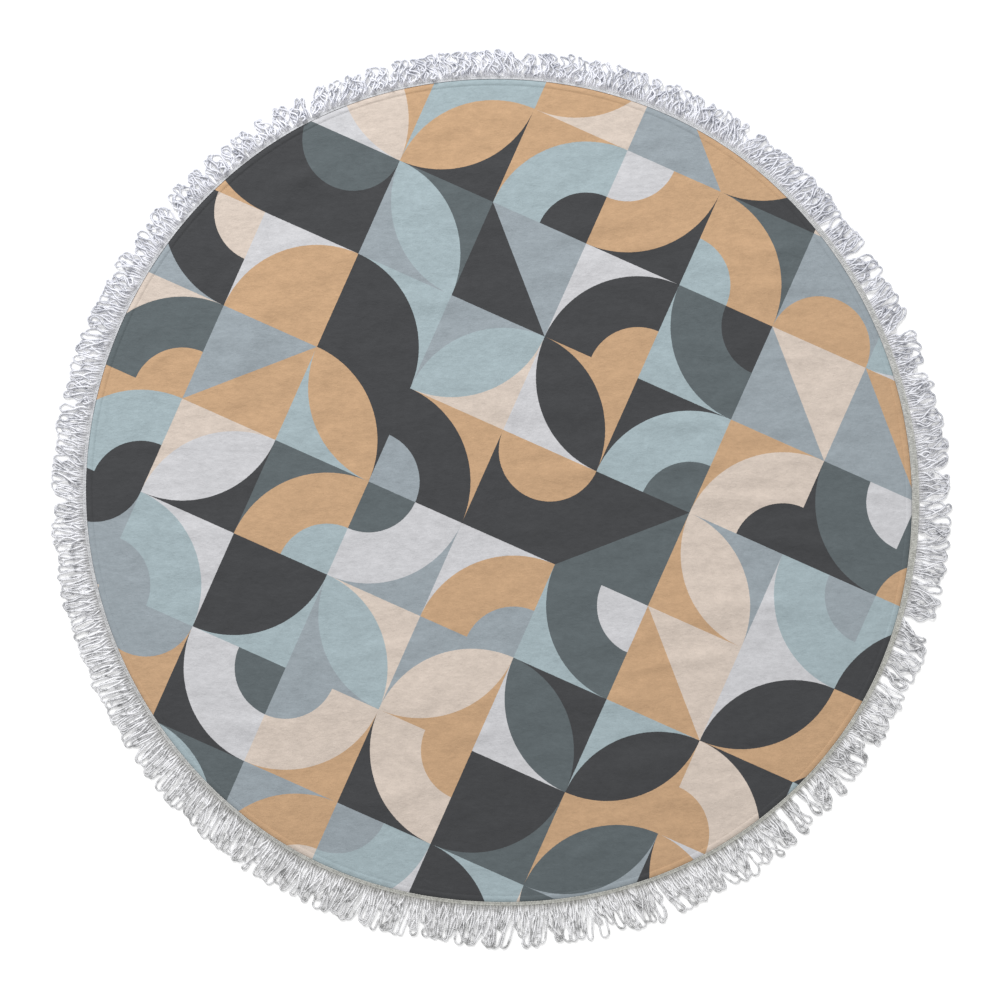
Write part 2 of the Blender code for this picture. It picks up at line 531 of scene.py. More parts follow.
@dataclass(frozen=True)
class TwistedYarn(Finish):
    """Two-ply white cotton, in painted shade down its sides, in its plies' slanting groove and at its root.

    It is also dimmer in random patches, and in painted shade in spots between strands, toward its tips and
    toward +X. Each of its three colours is a pair: toward -Y, and a little cooler toward +Y, where the
    colours in shade and at the root are also much paler as painted light from the key light's side. Each
    dim or painted shade number is how far that moves the colour from lit to dim, and such a slope goes from
    the yarn's top to its sides. The other two slopes say how far a place counts as toward +Y and toward +X.
    """

    name: str = "twisted_yarn"
    roughness: tuple[float, float] = (0.80, 0.95)
    sheen: float = 0.15
    relief: float = 0.0009
    relief_strength: float = 0.7
    # The lit colours, the colours in painted shade, and those in painted shade at the root.
    lit: tuple[str, str] = ("F4F4F6", "E8E9F0")
    dim: tuple[str, str] = ("626361", "808493")
    root_shade: tuple[str, str] = ("7C7B75", "E4E4E9")
    groove_spacing: float = 0.0037
    fluff: Grain = Grain(800.0, 3.0, 0.7)
    patches: Grain = Grain(26.0)
    gaps: Grain = Grain(120.0, 3.0, 0.6)
    gap_start: float = 0.47
    gap_slope: float = 6.0
    # Painted light falls toward +Y, and painted shade toward +X.
    upward: Slope = (0.5, 0.7)
    rightward: Slope = (-0.8, 3.0)
    side_painted_shade: float = 0.40
    groove_painted_shade: float = 0.16
    fluff_dim: float = 0.22
    patch_dim: float = 0.70
    tone_dim: float = 0.14
    gap_painted_shade: Slope = (0.30, 0.55)
    tip_painted_shade: Slope = (0.20, 0.06)
    right_painted_shade: Slope = (0.05, 0.22)
    brightening: float = 0.17
    root_painted_shade: float = 0.85

    def material(self) -> Material:
        """The finished material.

        Returns:
            White yarn whose painted shade follows the piece's attributes side, run, turn, rooted and tipped,
            and whose random tone follows tone.
        """
        material, graph, place = self.start()
        names = ("side", "run", "turn_cosine", "turn_sine", "rooted", "tipped", "tone")
        side, run, turn_cosine, turn_sine, rooted, tipped, tone = (self._worn(graph, name) for name in names)
        phase = run * (math.tau / self.groove_spacing)
        groove = 0.5 - 0.5 * (turn_cosine * phase.cosine() + turn_sine * phase.sine())
        fluff = graph.noise(place, self.fluff)
        patch = graph.noise(place, self.patches)
        gap = ((graph.noise(place, self.gaps) - self.gap_start) * self.gap_slope).eased()
        x, y, _ = graph.axes(place)
        upward = sloped(self.upward, y).eased()
        rightward = sloped(self.rightward, x).eased()
        # Painted shade down the yarn's sides, in its ply groove, in spots between strands, toward the tips
        # and toward +X; the fluff, the patches and each loop's tone are random tone.
        dimmed = self.side_painted_shade * side**1.3 + self.groove_painted_shade * groove + self.fluff_dim * (fluff - 0.5)
        dimmed = dimmed + self.patch_dim * (patch - 0.5) + self.tone_dim * tone
        dimmed = dimmed + gap * sloped(self.gap_painted_shade, side) + tipped * sloped(self.tip_painted_shade, side)
        # Painted shade toward +X, the side away from the key light.
        dimmed = dimmed + rightward * sloped(self.right_painted_shade, side) * (1.0 - 0.6 * tipped)
        # Painted light: the shade and root colours grow paler toward +Y, where the key light hangs.
        lit, dim, root_shade = (graph.graded(codes, upward) for codes in (self.lit, self.dim, self.root_shade))
        colour = graph.tinted(lit, dim, (dimmed - self.brightening).held())
        # Painted shade near the root, where the loops crowd and cover one another.
        colour = graph.tinted(colour, root_shade, self.root_painted_shade * rooted**1.5 * (0.6 + 0.8 * fluff))
        self.vary(graph, colour, fluff, 0.7 * (1.0 - groove) + 0.3 * fluff)
        return material

    @staticmethod
    def _worn(graph: Graph, name: str) -> Value:
        """An attribute of the piece as a number."""
        return graph.value(graph.add("ShaderNodeAttribute", {"attribute_name": name}), "Fac")


@dataclass(frozen=True)
class WovenBraid(Finish):
    """The fringe's flat braid: off-white cotton with fine crossing ribs.

    Each of its two colours, lit and in painted shade, is a pair: toward -Y and +X, and paler and cooler
    toward +Y and -X, as painted light from the key light's side.
    """

    name: str = "woven_braid"
    roughness: tuple[float, float] = (0.84, 0.96)
    sheen: float = 0.1
    relief: float = 0.0008
    relief_strength: float = 0.5
    lit: tuple[str, str] = ("C4C4BE", "D5D6D9")
    dim: tuple[str, str] = ("92928C", "AEAFB3")
    weave: Grain = Grain(700.0, 2.0, 0.6)
    wear: Grain = Grain(60.0, 3.0, 0.6)
    ribbing: Grain = Grain(240.0)
    weave_start: float = 0.28
    weave_slope: float = 1.4
    weave_painted_shade: float = 0.6
    wear_dim: float = 0.4
    rib_painted_shade: float = 1.6

    def material(self) -> Material:
        """The finished material.

        Returns:
            Greige cotton with a fine uneven weave, in painted shade in its weave and along its ribs, and a
            little worn.
        """
        material, graph, place = self.start()
        weave = graph.noise(place, self.weave)
        worn = graph.noise(place, self.wear)
        ribbed = graph.noise(place, self.ribbing)
        woven = (self.weave_slope * (weave - self.weave_start)).held()
        # Painted shade in the weave and along the ribs, and real wear.
        shadow = self.weave_painted_shade * woven + self.wear_dim * worn + self.rib_painted_shade * (ribbed - 0.5)
        x, y, _ = graph.axes(place)
        # Painted light: paler toward +Y and -X, where the key light hangs.
        paler = (0.5 + 0.7 * y - 0.45 * x).eased()
        colour = graph.tinted(graph.graded(self.lit, paler), graph.graded(self.dim, paler), shadow)
        self.vary(graph, colour, weave, weave)
        return material


@dataclass(frozen=True)
class SewingThread(Finish):
    """The hem's thread, which took the print's inks with the cloth."""

    name: str = "sewing_thread"
    roughness: tuple[float, float] = (0.50, 0.70)
    sheen: float = 0.0
    relief: float = 0.0002
    relief_strength: float = 0.4
    pattern: TilePrint = TilePrint()
    twist: Grain = Grain(1500.0, 1.0)
    light: Slope = (0.80, 0.25)

    def material(self) -> Material:
        """The finished material.

        Returns:
            Thread a little darker than the print under it, with a fine twist.
        """
        material, graph, place = self.start()
        twist = graph.noise(place, self.twist)
        colour = graph.dimmed(self.pattern.colour(graph, place), sloped(self.light, twist))
        self.vary(graph, colour, twist, twist)
        return material


@dataclass(frozen=True)
class PaleFloor(Finish):
    """The studio's floor."""

    name: str = "pale_floor"
    roughness: tuple[float, float] = (0.95, 0.95)
    sheen: float = 0.0
    level: float = 0.96
    cloudiness: float = 0.01
    glow: float = 0.13
    clouds: Grain = Grain(3.0)

    def material(self) -> Material:
        """The finished material.

        Returns:
            A plain near-white surface, faintly lit from within like a light table.
        """
        material, graph, place = self.start()
        sockets = self.shader(graph).inputs
        sockets["Emission Color"].default_value = WHITE
        sockets["Emission Strength"].default_value = self.glow
        level = self.level + self.cloudiness * (graph.noise(place, self.clouds) - 0.5)
        graph.feed(sockets["Base Color"], graph.combined(level, level, level))
        return material


# ---------------------------------------------------------------- shape of the towel


def all_round(count: int) -> list[float]:
    """The bearings of a number of even steps all the way round."""
    return [math.tau * step / count for step in range(count)]


def placed(centre: Vector, angle: float, reach: float, height: float) -> Vector:
    """The place at a bearing, a reach and a height from a centre on the floor."""
    return centre + Vector((reach * math.cos(angle), reach * math.sin(angle), height))


def ripple(angle: float, pace: float, row: float) -> float:
    """Smooth noise round the towel, at a pace and in a row of its own, from about -1 to 1."""
    return noise.noise(Vector((pace * math.cos(angle), pace * math.sin(angle), row)))


@dataclass(frozen=True)
class Bearing:
    """The towel in one direction from the cloth's centre.

    Beside the edge's radius and the braid's width it holds how curled the loops are there, how
    widely they fan, and what share of the way to the tips' circle they reach.
    """

    radius: float
    braid: float
    tangle: float
    fan: float
    reach: float


@dataclass(frozen=True)
class Wave:
    """A slow wave in which the loops lean: leans in a turn, sideways reach, and where it begins."""

    count: int
    lean: float
    phase: float


@dataclass(frozen=True)
class Parting:
    """A place where the fringe parts: how far the tips beside it draw back, and over what turn that fades."""

    degrees: float
    spread: float
    reach: float = 0.035


@dataclass(frozen=True)
class Ridge:
    """A soft ridge in the cloth.

    It holds its middle from the cloth's centre, its heading, half length, half width and height.
    """

    x: float
    y: float
    heading: float
    length: float
    width: float
    height: float

    def rise(self, x: float, y: float) -> float:
        """Its height at a place.

        Args:
            x: The place along X, from the cloth's centre.
            y: The place along Y.

        Returns:
            The height in metres.
        """
        turn = math.radians(self.heading)
        along = (x - self.x) * math.cos(turn) + (y - self.y) * math.sin(turn)
        across = (y - self.y) * math.cos(turn) - (x - self.x) * math.sin(turn)
        return self.height * math.exp(-((along / self.length) ** 2) - (across / self.width) ** 2)


@dataclass(frozen=True)
class Outline:
    """The towel's plan: the hem's edge, the braid outside it, and the circle that the tips reach."""

    tip_circle: float = 0.762
    centre_offset: tuple[float, float] = (0.0034, 0.0143)
    sewn_gap: float = 0.0003

    # Evenly all the way round, anticlockwise from +X.
    bearings: tuple[Bearing, ...] = (
        Bearing(0.6915, 0.0120, 0.50, 0.50, 1.01),
        Bearing(0.6885, 0.0090, 0.50, 0.55, 0.89),
        Bearing(0.6935, 0.0060, 0.75, 0.38, 1.01),
        Bearing(0.6960, 0.0045, 1.00, 0.34, 1.00),
        Bearing(0.7035, 0.0045, 0.95, 0.38, 1.03),
        Bearing(0.7020, 0.0045, 0.60, 0.36, 1.02),
        Bearing(0.7020, 0.0045, 0.35, 0.35, 0.98),
        Bearing(0.6995, 0.0045, 0.15, 0.22, 0.97),
        Bearing(0.6990, 0.0050, 0.15, 0.22, 0.97),
        Bearing(0.6930, 0.0050, 0.35, 0.35, 0.93),
        Bearing(0.7015, 0.0050, 0.50, 0.42, 1.07),
        Bearing(0.7040, 0.0065, 0.70, 0.50, 1.07),
    )
    waves: tuple[Wave, ...] = (Wave(5, 0.0060, 0.8), Wave(11, 0.0050, 2.1), Wave(23, 0.0022, 4.0))
    partings: tuple[Parting, ...] = (
        Parting(3, 0.008),
        Parting(16, 0.011),
        Parting(22, 0.016),
        Parting(34, 0.015, 0.05),
        Parting(55, 0.014, 0.05),
        Parting(87, 0.006, 0.06),
        Parting(97, 0.005),
        Parting(125, 0.005),
        Parting(133, 0.007),
        Parting(140, 0.008),
        Parting(158, 0.011),
        Parting(181, 0.010, 0.05),
        Parting(215, 0.006),
        Parting(251, 0.009),
        Parting(272, 0.012),
        Parting(276, 0.010),
        Parting(282, 0.012),
        Parting(291, 0.011),
        Parting(320, 0.013),
        Parting(325, 0.009),
        Parting(343, 0.015),
    )

    def around(self, column: str, angle: float) -> float:
        """A column of the bearings on a smooth closed curve through its rows.

        Args:
            column: The column's name.
            angle: The direction in radians.

        Returns:
            The value there.
        """
        rows = len(self.bearings)
        place = angle / math.tau % 1 * rows
        share = place % 1
        first = int(place)
        a, b, c, d = (getattr(self.bearings[(first + step) % rows], column) for step in (-1, 0, 1, 2))
        linear = (c - a) * share
        square = (2 * a - 5 * b + 4 * c - d) * share**2
        cube = (3 * b - a - 3 * c + d) * share**3
        return b + (linear + square + cube) / 2

    def edge(self, angle: float) -> float:
        """How far the hem's edge is from the cloth's centre."""
        return self.around("radius", angle)

    def braid(self, angle: float, share: float) -> float:
        """How far a place on the braid is from the cloth's centre, at a share of the braid's width."""
        return self.edge(angle) + self.sewn_gap + share * self.around("braid", angle)

    def tip(self, angle: float) -> float:
        """How far the tips' circle is from the cloth's centre.

        Args:
            angle: The direction in radians.

        Returns:
            The distance in metres.
        """
        offset = Vector(self.centre_offset)
        outward = offset.x * math.cos(angle) + offset.y * math.sin(angle)
        return math.sqrt(outward**2 + self.tip_circle**2 - offset.length_squared) - outward

    @staticmethod
    def turn_from(parting: Parting, angle: float) -> float:
        """The turn in radians from a parting to a bearing, anticlockwise positive."""
        return math.remainder(angle - math.radians(parting.degrees), math.tau)

    def sway(self, angle: float) -> float:
        """How far sideways the tips lean at a bearing.

        Args:
            angle: The direction in radians.

        Returns:
            The lean in metres, anticlockwise positive.
        """
        lean = sum(wave.lean * math.sin(wave.count * angle + wave.phase) for wave in self.waves)
        for parting in self.partings:
            away = self.turn_from(parting, angle) / parting.reach
            lean += parting.spread * math.copysign(math.exp(-abs(away)), away)
        return lean

    def centre(self) -> Vector:
        """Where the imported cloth's centre is.

        Returns:
            The centre, on the floor.
        """
        _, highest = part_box("towel_cloth")
        east = max(self.edge(angle) * math.cos(angle) for angle in all_round(720))
        north = max(self.edge(angle) * math.sin(angle) for angle in all_round(720))
        return Vector((highest[0] - east, highest[1] - north, 0.0))


# ---------------------------------------------------------------- pieces


def polished(name: str, mesh: bpy.types.Mesh) -> bpy.types.Object:
    """A new object in the scene for a finished mesh, shaded smooth.

    Args:
        name: The piece's name.
        mesh: Its mesh, with its place in it.

    Returns:
        The object, at the origin.
    """
    mesh.shade_smooth()
    piece = bpy.data.objects.new(name, mesh)
    bpy.context.scene.collection.objects.link(piece)
    return piece


def dressed(name: str, bm: bmesh.types.BMesh, *materials: Material) -> bpy.types.Object:
    """A new object in the scene for a mesh under construction.

    Args:
        name: The piece's name.
        bm: The mesh under construction, which ends here.
        *materials: The materials that its faces wear, by number.

    Returns:
        The object, at the origin.
    """
    mesh = bpy.data.meshes.new(name)
    bm.to_mesh(mesh)
    bm.free()
    for material in materials:
        mesh.materials.append(material)
    return polished(name, mesh)


def seat_mesh(places: Sequence[Sequence[float]], columns: Mapping[str, Sequence[float]]) -> bpy.types.Mesh:
    """A mesh of loose points that carry numbers.

    Args:
        places: The points.
        columns: The numbers' names, and each one's value point by point.

    Returns:
        The mesh, for a tree to grow on.
    """
    mesh = bpy.data.meshes.new("seats")
    mesh.from_pydata(places, [], [])
    for name, numbers in columns.items():
        mesh.attributes.new(name, "FLOAT", "POINT").data.foreach_set("value", numbers)
    return mesh


def settle(piece: bpy.types.Object, slot: str, *nodes: str) -> bpy.types.Object:
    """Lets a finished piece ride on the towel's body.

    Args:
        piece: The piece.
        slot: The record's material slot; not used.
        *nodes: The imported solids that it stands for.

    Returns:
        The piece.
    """
    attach(piece, BODY)
    if nodes:
        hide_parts(*nodes)
    count = sum(len(polygon.vertices) - 2 for polygon in piece.data.polygons)
    LOG.info("%s: %d triangles", piece.name, count)
    return piece


class GrowingTree(Graph):
    """A Geometry Nodes tree with named inputs, whose result is taken as a plain mesh."""

    def __init__(self, name: str, sizes: Mapping[str, float], material: Material) -> None:
        """Starts a tree with an input for the base, each size and the material.

        Args:
            name: The tree's name.
            sizes: The named sizes that the tree reads.
            material: The material that its result wears.
        """
        super().__init__(bpy.data.node_groups.new(name, "GeometryNodeTree"))
        self.sizes = sizes
        self.material = material
        interface = self.tree.interface
        interface.new_socket("Geometry", in_out="INPUT", socket_type="NodeSocketGeometry")
        interface.new_socket("Geometry", in_out="OUTPUT", socket_type="NodeSocketGeometry")
        for size in sizes:
            interface.new_socket(size, in_out="INPUT", socket_type="NodeSocketFloat")
        interface.new_socket("Material", in_out="INPUT", socket_type="NodeSocketMaterial")
        self.entry = self.tree.nodes.new("NodeGroupInput")
        self.exit = self.tree.nodes.new("NodeGroupOutput")

    @property
    def base(self) -> Socket:
        """The geometry that the modifier's object brings."""
        return self.entry.outputs["Geometry"]

    def size(self, name: str) -> Value:
        """One of the tree's named sizes."""
        return self.value(self.entry, name)

    def carried(self, name: str) -> Value:
        """A number that the base carries at each of its points."""
        return self.value(self.add("GeometryNodeInputNamedAttribute", {"data_type": "FLOAT"}, {"Name": name}))

    def along(self, output: str = "Factor") -> Value:
        """How far along its curve a point is, as a share or as a "Length"."""
        return self.value(self.add("GeometryNodeSplineParameter"), output)

    def chance(self, low: float, high: float, seed: int, item: Given) -> Value:
        """A number drawn anew for each item.

        Args:
            low: The lowest that it may be.
            high: The highest.
            seed: The draw's fixed seed.
            item: The whole number that tells the items apart.

        Returns:
            The number.
        """
        inputs = {2: low, 3: high, "ID": item, "Seed": seed}
        return self.value(self.add("FunctionNodeRandomValue", {"data_type": "FLOAT"}, inputs), 1)

    def kept(self, geometry: Given, name: str, number: Given) -> Socket:
        """A geometry that carries a number under a name at each of its points.

        Args:
            geometry: The geometry.
            name: The number's name.
            number: The number.

        Returns:
            The geometry with it.
        """
        settings = {"data_type": "FLOAT", "domain": "POINT"}
        inputs = {"Geometry": geometry, "Name": name, "Value": number}
        return self.add("GeometryNodeStoreNamedAttribute", settings, inputs).outputs[0]

    def moved(self, geometry: Given, **to: Given) -> Socket:
        """A geometry with its points at a new Position, or moved by an Offset."""
        return self.add("GeometryNodeSetPosition", inputs={"Geometry": geometry, **to}).outputs[0]

    def circle(self, points: int, radius: Given = 1.0) -> Socket:
        """A closed curve of a few points on a circle."""
        inputs = {"Resolution": points, "Radius": radius}
        return self.add("GeometryNodeCurvePrimitiveCircle", {"mode": "RADIUS"}, inputs).outputs[0]

    def resampled(self, curve: Given, measure: str, amount: Given) -> Socket:
        """A curve in even steps, given by their "Length" or by their points' "Count"."""
        inputs = {"Curve": curve, measure: amount}
        return self.add("GeometryNodeResampleCurve", {"mode": measure.upper()}, inputs).outputs[0]

    def real(self, geometry: Given) -> Socket:
        """A geometry with its copies made real."""
        return self.add("GeometryNodeRealizeInstances", inputs={0: geometry}).outputs[0]

    def lines(self, ends: Sequence[Sequence[float]], points: int) -> Socket:
        """A copy of a straight line on each point of the base.

        Args:
            ends: Where the line begins and ends.
            points: How many points it has.

        Returns:
            The copies.
        """
        line = self.add("GeometryNodeCurvePrimitiveLine", {"mode": "POINTS"}, dict(enumerate(ends)))
        inputs = {"Points": self.base, "Instance": self.resampled(line.outputs[0], "Count", points)}
        return self.add("GeometryNodeInstanceOnPoints", inputs=inputs).outputs[0]

    def lay_bars(self, rise: float, sink: float) -> None:
        """Ends the tree with a short arched bar on each point of the base.

        The base's points carry each bar's length and turn, and the tree's size "Width" is its width.

        Args:
            rise: How far a bar's middle stands above its ends, in widths.
            sink: How far its ends lie below their point, in widths.
        """
        width = self.size("Width")
        turn = self.combined(0.0, 0.0, self.carried("turn"))
        stretch = self.combined(self.carried("length"), 1.0, 1.0)
        bars = self.lines(((-0.5, 0.0, 0.0), (0.5, 0.0, 0.0)), 4)
        bars = self.add("GeometryNodeRotateInstances", inputs={0: bars, "Rotation": turn}).outputs[0]
        bars = self.add("GeometryNodeScaleInstances", inputs={0: bars, "Scale": stretch}).outputs[0]
        share = self.along()
        arch = (4.0 * share * (1.0 - share) * rise - sink) * width
        arched = self.moved(self.real(bars), Offset=self.combined(0.0, 0.0, arch))
        self.close(self.swept(arched, self.circle(5, width * 0.5)))

    def ply_section(self, width: Value) -> Socket:
        """The section of a two-ply yarn: six points with a groove on each flank.

        Args:
            width: The yarn's width.

        Returns:
            A closed curve.
        """
        angle = (self.value(self.add("GeometryNodeInputIndex")) + 0.5) * (math.pi / 3)
        flank = abs(angle.sine()) > 0.9
        up = angle.sine() * (0.56 - 0.22 * flank) * width
        return self.moved(self.circle(6), Position=self.combined(0.58 * angle.cosine() * width, up, 0.0))

    def yarn_section(self, width: Value) -> Socket:
        """The section of a soft yarn: six points, a little wider than high.

        Args:
            width: The yarn's width.

        Returns:
            A closed curve that carries twice each point's turn, as its cosine and its sine.
        """
        angle = self.value(self.add("GeometryNodeInputIndex")) * (math.pi / 3)
        place = self.combined(0.5 * angle.cosine() * width, 0.46 * angle.sine() * width, 0.0)
        section = self.moved(self.circle(6), Position=place)
        section = self.kept(section, "turn_cosine", (2.0 * angle).cosine())
        return self.kept(section, "turn_sine", (2.0 * angle).sine())

    def swept(self, path: Given, section: Given, girth: Given = 1.0) -> Socket:
        """A closed tube along a path.

        Args:
            path: The path's curves.
            section: The tube's section.
            girth: How many times the section's size it is, point by point.

        Returns:
            The tube's mesh.
        """
        inputs = {"Curve": path, "Profile Curve": section, "Scale": girth, "Fill Caps": True}
        return self.add("GeometryNodeCurveToMesh", inputs=inputs).outputs[0]

    def close(self, geometry: Given) -> None:
        """Ends the tree with a result as plain geometry in its material.

        Args:
            geometry: The result.
        """
        inputs = {"Geometry": self.real(geometry), "Material": self.entry.outputs["Material"]}
        worn = self.add("GeometryNodeSetMaterial", inputs=inputs)
        self.feed(self.exit.inputs["Geometry"], worn.outputs[0])

    def grow(self, name: str, base: bpy.types.Mesh) -> bpy.types.Object:
        """Runs the tree on a base and keeps the result as a plain mesh.

        Args:
            name: The piece's name.
            base: The mesh of points or edges that the tree grows on.

        Returns:
            The finished piece.
        """
        carrier = bpy.data.objects.new(name, base)
        bpy.context.scene.collection.objects.link(carrier)
        modifier = carrier.modifiers.new("grow", "NODES")
        modifier.node_group = self.tree
        given = {**self.sizes, "Material": self.material}
        for item in self.tree.interface.items_tree:
            if item.in_out == "INPUT" and item.name in given:
                modifier[item.identifier] = given[item.name]
        graph = bpy.context.evaluated_depsgraph_get()
        mesh = bpy.data.meshes.new_from_object(carrier.evaluated_get(graph))
        bpy.data.objects.remove(carrier)
        bpy.data.meshes.remove(base)
        mesh.name = name
        return polished(name, mesh)


@dataclass
class TowelCloth:
    """The printed sheet with its turned hem."""

    outline: Outline
    centre: Vector
    face: Material
    back: Material
    cells: int = 176
    thickness: float = 0.0022
    hem_start: float = 0.0150
    rim_fade: float = 0.07
    swell_start: float = 0.0006
    pucker_height: float = 0.0006
    pucker_depth: float = 0.045
    puckers: tuple[float, float] = (17, 1.3)
    rest_height: float = 0.0010
    pressed: float = 0.0003
    crumple_height: float = 0.0026
    crumple_size: tuple[float, float] = (0.070, 0.026)
    lump_size: tuple[float, float] = (0.034, 0.034)
    fine_size: tuple[float, float] = (0.028, 0.016)
    bend_size: tuple[float, float] = (0.16, 0.16)
    bend_reach: float = 0.030
    lump_share: float = 0.75
    smooth_share: float = 0.35
    fine_share: float = 0.42
    creased_start: float = 0.02
    creased_slant: float = 0.3
    creased_blend: float = 0.08
    swells: tuple[Ridge, ...] = (
        Ridge(-0.105, -0.345, -3, 0.300, 0.070, 0.0045),
        Ridge(-0.250, -0.525, 18, 0.130, 0.050, 0.0032),
        Ridge(0.235, -0.485, 6, 0.120, 0.050, 0.0034),
        Ridge(0.400, -0.190, 5, 0.130, 0.048, 0.0036),
        Ridge(0.330, 0.055, -3, 0.150, 0.050, 0.0036),
        Ridge(0.100, 0.175, 6, 0.170, 0.050, 0.0034),
        Ridge(0.430, 0.380, 10, 0.110, 0.050, 0.0036),
        Ridge(-0.080, 0.500, 12, 0.150, 0.060, 0.0036),
        Ridge(-0.400, 0.300, 55, 0.130, 0.055, 0.0034),
        Ridge(-0.470, -0.090, 20, 0.110, 0.055, 0.0030),
    )
    creases: tuple[Ridge, ...] = (
        Ridge(0.132, 0.035, 18, 0.060, 0.014, 0.0036),
        Ridge(0.099, 0.250, 2, 0.090, 0.020, 0.0033),
        Ridge(0.090, 0.140, 0, 0.080, 0.020, 0.0030),
        Ridge(0.301, 0.116, -4, 0.100, 0.014, 0.0033),
        Ridge(0.369, 0.049, 2, 0.080, 0.013, 0.0027),
        Ridge(0.352, -0.010, -3, 0.100, 0.014, 0.0033),
        Ridge(0.487, -0.084, -8, 0.080, 0.013, 0.0030),
        Ridge(0.402, -0.191, 4, 0.090, 0.015, 0.0036),
        Ridge(0.318, -0.285, 8, 0.070, 0.013, 0.0027),
        Ridge(0.217, -0.348, 10, 0.060, 0.015, 0.0030),
        Ridge(0.234, -0.457, 3, 0.070, 0.018, 0.0033),
        Ridge(0.470, 0.410, 12, 0.060, 0.012, 0.0033),
        Ridge(0.453, 0.339, 20, 0.050, 0.018, 0.0027),
        Ridge(-0.534, -0.066, 5, 0.050, 0.014, 0.0027),
        Ridge(-0.424, -0.393, -3, 0.070, 0.013, 0.0030),
        Ridge(-0.197, -0.265, 5, 0.050, 0.012, 0.0024),
        Ridge(-0.340, 0.525, 35, 0.060, 0.018, 0.0027),
        Ridge(-0.121, 0.322, 0, 0.070, 0.015, 0.0024),
        Ridge(-0.425, 0.238, 65, 0.080, 0.020, 0.0027),
        Ridge(-0.290, 0.221, 70, 0.070, 0.020, 0.0024),
        Ridge(-0.171, -0.513, 20, 0.070, 0.016, 0.0030),
        Ridge(-0.053, -0.412, 15, 0.060, 0.014, 0.0024),
        Ridge(0.149, -0.606, 30, 0.050, 0.014, 0.0027),
    )

    # Each ring of the hem outward over its top, round its edge and back under it: how far it lies
    # inside the edge, and its height.
    hem_rings: tuple[tuple[float, float], ...] = (
        (0.0124, 0.0022),
        (0.0112, 0.0020),
        (0.0104, 0.0020),
        (0.0094, 0.0026),
        (0.0080, 0.0030),
        (0.0058, 0.0030),
        (0.0038, 0.0027),
        (0.0018, 0.0021),
        (0.0006, 0.0015),
        (0.0000, 0.0010),
        (0.0003, 0.0004),
        (0.0010, 0.0001),
        (0.0030, 0.0000),
        (0.0095, 0.0000),
        (0.0104, 0.0005),
        (0.0112, 0.0000),
    )

    def lift(self, x: float, y: float) -> float:
        """How far the sheet lies clear of the floor.

        Args:
            x: The place along X, from the cloth's centre.
            y: The place along Y.

        Returns:
            The height in metres, a little below 0 where the pile is pressed.
        """
        swell = max(sum(ridge.rise(x, y) for ridge in self.swells) - self.swell_start, 0.0)
        crease = sum(ridge.rise(x, y) for ridge in self.creases)
        angle = math.atan2(y, x)
        inside = self.outline.edge(angle) - math.hypot(x, y)
        fade = min(max(inside / self.rim_fade, 0.0), 1.0)
        fade = fade * fade * (3 - 2 * fade)
        return (self.rest_height + swell + crease + self.crumple(x, y)) * fade + self.pucker(angle, inside)

    def crumple(self, x: float, y: float) -> float:
        """The small soft wrinkles: round lumps to the left, and creases from left to right beyond the middle.

        Args:
            x: The place along X, from the cloth's centre.
            y: The place along Y.

        Returns:
            Their height, above or below the sheet's rest.
        """
        bend = self.bend_reach * self._wrinkle(x, y, self.bend_size, 3.7)
        crease = self._wrinkle(x, y + bend, self.crumple_size, 0.4)
        lump = self._wrinkle(x + bend, y, self.lump_size, 5.2)
        fine = self._wrinkle(x, y + bend, self.fine_size, 7.1)
        beyond = x + self.creased_slant * y - self.creased_start
        creased = 1 / (1 + math.exp(-beyond / self.creased_blend))
        lumped = self.lump_share * lump + self.smooth_share * crease
        broad = creased * crease + (1 - creased) * lumped
        return self.crumple_height * (broad + self.fine_share * fine)

    @staticmethod
    def _wrinkle(x: float, y: float, size: tuple[float, float], row: float) -> float:
        """Smooth noise in lumps of a length and a width, in a row of its own, from about -1 to 1."""
        return noise.noise(Vector((x / size[0], y / size[1], row)))

    def pucker(self, angle: float, inside: float) -> float:
        """The short ripples that the hem's stitching draws in the edge."""
        near = math.exp(-((inside / self.pucker_depth) ** 2))
        return self.pucker_height * near * max(ripple(angle, *self.puckers), 0.0)

    def build(self) -> bpy.types.Object:
        """Makes the sheet: a fine grid for its face, the hem's rings, and a grid for its back.

        Returns:
            The closed sheet.
        """
        bm = bmesh.new()
        rim = self._lay_grid(bm, is_face=True)
        for inset, height in self.hem_rings:
            rim = self._hem_ring(bm, rim, inset, height)
        self._lay_grid(bm, is_face=False)
        bmesh.ops.remove_doubles(bm, verts=bm.verts, dist=1e-6)
        bmesh.ops.recalc_face_normals(bm, faces=bm.faces)
        bmesh.ops.translate(bm, verts=bm.verts, vec=self.centre)
        return dressed("towel_sheet", bm, self.face, self.back)

